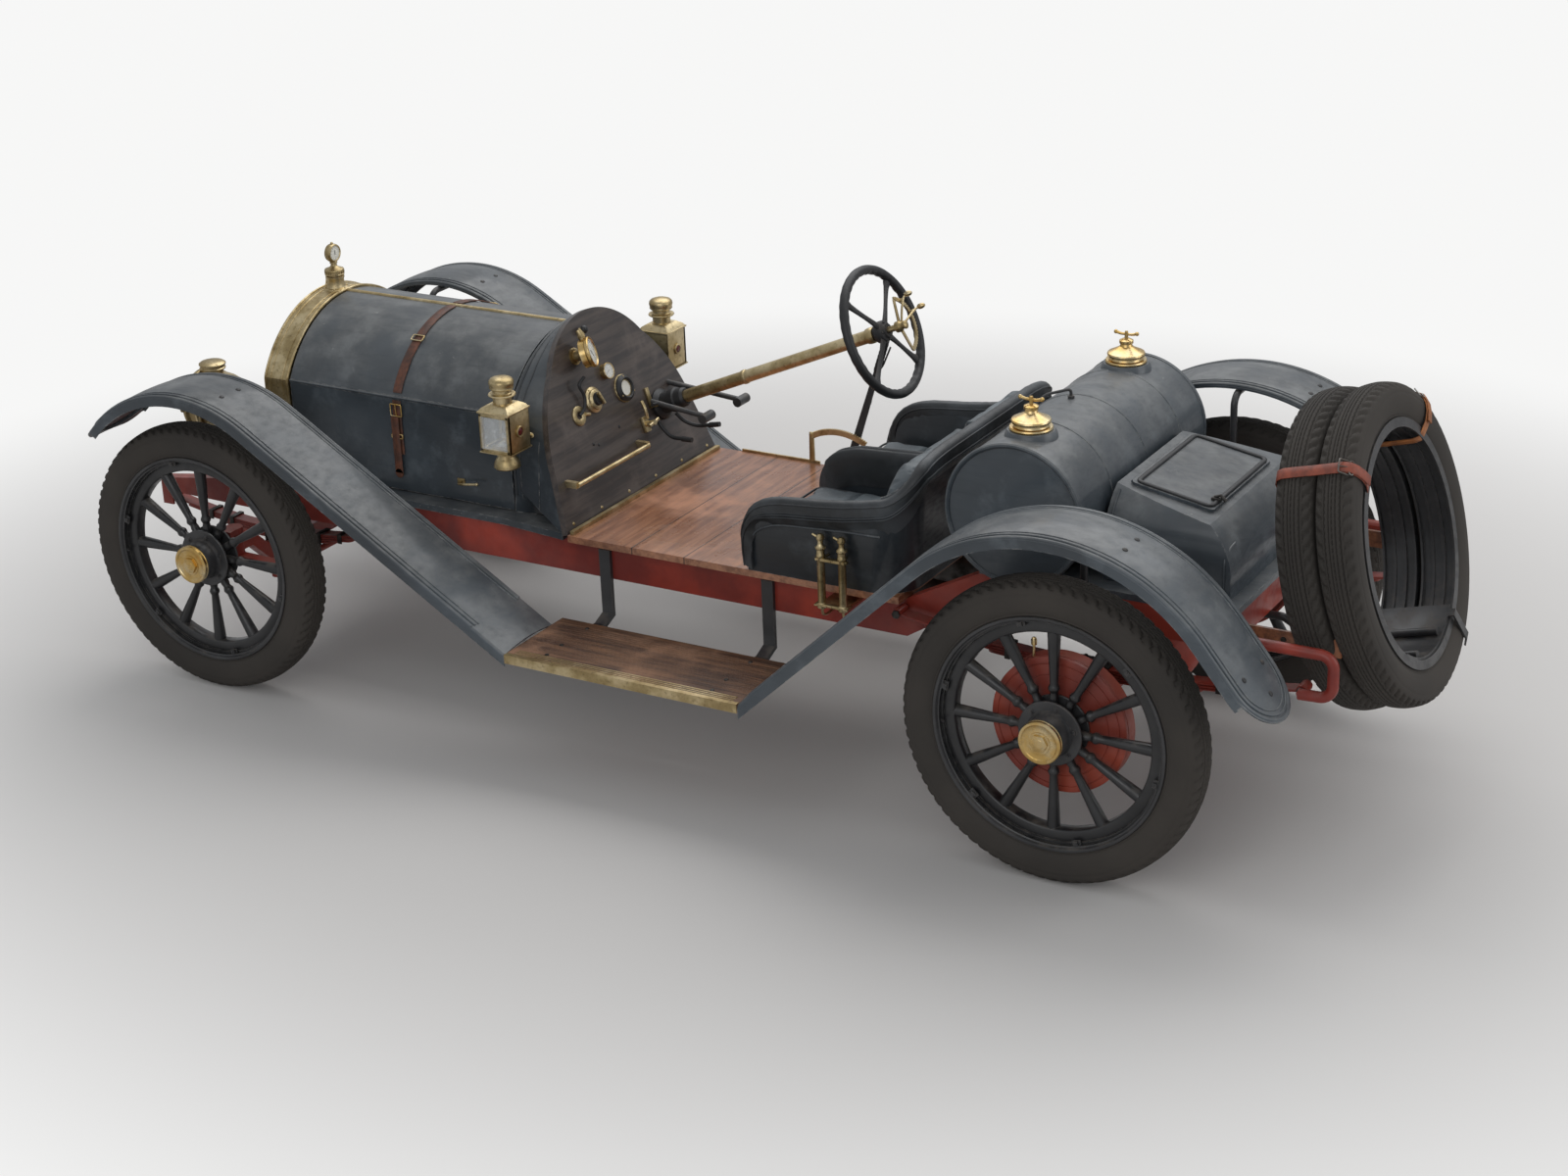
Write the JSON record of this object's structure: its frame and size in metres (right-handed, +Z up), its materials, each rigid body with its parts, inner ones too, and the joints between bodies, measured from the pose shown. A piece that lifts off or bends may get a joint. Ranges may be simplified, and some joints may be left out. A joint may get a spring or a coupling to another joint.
{
  "type": "brass era roadster",
  "caption": "Open two-seat early motor car with a round tank, tool box, spare tyres behind the bucket seats, a hinged hood and working steering.",
  "frame": {"origin": "on the ground, in the middle of the whole car's length and width", "axes": "+X forward, +Y to the car's left, +Z up"},
  "size_m": [4.3962, 1.676, 1.4062],
  "materials": {
    "slate_paint": "aged satin enamel",
    "red_paint": "weathered enamel",
    "black_paint": "worn satin enamel",
    "brown_paint": "worn dark enamel",
    "brass": "aged, partly polished",
    "steel": "oily, dull",
    "iron": "rough cast",
    "aluminium": "cast, dull",
    "core": "dark honeycomb",
    "tyre": "treaded rubber",
    "leather": "padded, creased",
    "floor": "varnished boards, worn",
    "deck_wood": "planks",
    "board": "grooved, dark",
    "glass": "clear"
  },
  "bodies": {
    "car": {"chassis_frame": "red_paint", "leaf_springs": "black_paint", "front_axle": "black_paint", "rear_axle": "black_paint", "engine": "iron", "driveline": "aluminium", "exhaust": "steel", "radiator_shell": "brass", "radiator_core": "core", "hood_hinge": "brass", "cowl": "slate_paint", "dashboard": "brown_paint", "instruments": "brass", "side_lamps": "brass", "lamp_glass": "glass", "headlamps": "brass", "floor_boards": "floor", "seat_body": "black_paint", "seat_cushions": "leather", "seat_backs": "leather", "fuel_tank": "slate_paint", "deck": "deck_wood", "filler_caps": "brass", "tool_box": "slate_paint", "spare_tyres": "tyre", "spare_rims": "black_paint", "spare_carrier": "black_paint", "front_fenders": "slate_paint", "rear_fenders": "slate_paint", "running_boards": "board", "fender_irons": "black_paint", "steering_column": "brass", "hand_lever": "black_paint", "lever_sector": "brass", "pedals": "black_paint", "floor_trim": "brass", "oil_pumps": "brass"},
    "front_left_wheel": {"wheel_front_left": "black_paint", "tyre_front_left": "tyre", "hub_cap_front_left": "brass"},
    "front_right_wheel": {"wheel_front_right": "black_paint", "tyre_front_right": "tyre", "hub_cap_front_right": "brass"},
    "rear_left_wheel": {"wheel_rear_left": "black_paint", "tyre_rear_left": "tyre", "hub_cap_rear_left": "brass", "brake_drum_rear_left": "red_paint"},
    "rear_right_wheel": {"wheel_rear_right": "black_paint", "tyre_rear_right": "tyre", "hub_cap_rear_right": "brass", "brake_drum_rear_right": "red_paint"},
    "left_knuckle": {"knuckle_left": "black_paint"},
    "right_knuckle": {"knuckle_right": "black_paint"},
    "tie_bar": {"tie_rod": "steel"},
    "helm": {"steering_wheel": "black_paint"},
    "hood_half_left": {"hood_left": "slate_paint"},
    "hood_half_right": {"hood_right": "slate_paint"},
    "hood_panel_left": {"hood_side_left": "slate_paint"},
    "hood_panel_right": {"hood_side_right": "slate_paint"},
    "tool_lid": {"tool_box_lid": "slate_paint"}
  },
  "joints": [
    {"name": "front_left_wheel_spin", "type": "hinge", "parent": "left_knuckle", "child": "front_left_wheel", "pos_m": [1.72611, 0.711, 0.457], "axis": [0, 1, 0], "continuous": true},
    {"name": "front_right_wheel_spin", "type": "hinge", "parent": "right_knuckle", "child": "front_right_wheel", "pos_m": [1.72611, -0.711, 0.457], "axis": [0, 1, 0], "continuous": true},
    {"name": "rear_left_wheel_spin", "type": "hinge", "parent": "car", "child": "rear_left_wheel", "pos_m": [-1.32189, 0.711, 0.457], "axis": [0, 1, 0], "continuous": true},
    {"name": "rear_right_wheel_spin", "type": "hinge", "parent": "car", "child": "rear_right_wheel", "pos_m": [-1.32189, -0.711, 0.457], "axis": [0, 1, 0], "continuous": true},
    {"name": "steering", "type": "hinge", "parent": "car", "child": "left_knuckle", "pos_m": [1.72611, 0.585, 0.457], "axis": [0, 0, 1], "range_deg": [-30, 30]},
    {"name": "right_steering", "type": "hinge", "parent": "car", "child": "right_knuckle", "pos_m": [1.72611, -0.585, 0.457], "axis": [0, 0, 1], "range_deg": [-31, 31]},
    {"name": "tie_rod_pivot", "type": "hinge", "parent": "left_knuckle", "child": "tie_bar", "pos_m": [1.55611, 0.585, 0.3827], "axis": [0, 0, 1], "range_deg": [-31, 31]},
    {"name": "steering_wheel_turn", "type": "hinge", "parent": "car", "child": "helm", "pos_m": [-0.30089, -0.23, 1.208], "axis": [-0.9212, 0, 0.3891], "range_deg": [-362, 362]},
    {"name": "hood_left_hinge", "type": "hinge", "parent": "car", "child": "hood_half_left", "pos_m": [1.22611, 0, 1.18], "axis": [1, 0, 0], "range_deg": [0, 75]},
    {"name": "hood_right_hinge", "type": "hinge", "parent": "car", "child": "hood_half_right", "pos_m": [1.22611, 0, 1.18], "axis": [-1, 0, 0], "range_deg": [0, 75]},
    {"name": "hood_panel_left_hinge", "type": "hinge", "parent": "hood_half_left", "child": "hood_panel_left", "pos_m": [1.22611, 0.3435, 0.96465], "axis": [1, 0, 0], "range_deg": [-76, 1]},
    {"name": "hood_panel_right_hinge", "type": "hinge", "parent": "hood_half_right", "child": "hood_panel_right", "pos_m": [1.22611, -0.3435, 0.96465], "axis": [-1, 0, 0], "range_deg": [-76, 1]},
    {"name": "tool_lid_hinge", "type": "hinge", "parent": "car", "child": "tool_lid", "pos_m": [-1.33488, 0, 1.02272], "axis": [0, 1, 0], "range_deg": [0, 100]}
  ],
  "couplings": [
    {"joint": "right_steering", "follows": "steering", "ratio": 1},
    {"joint": "tie_rod_pivot", "follows": "steering", "ratio": -1},
    {"joint": "steering_wheel_turn", "follows": "steering", "ratio": 12},
    {"joint": "hood_panel_left_hinge", "follows": "hood_left_hinge", "ratio": -1},
    {"joint": "hood_panel_right_hinge", "follows": "hood_right_hinge", "ratio": -1}
  ]
}
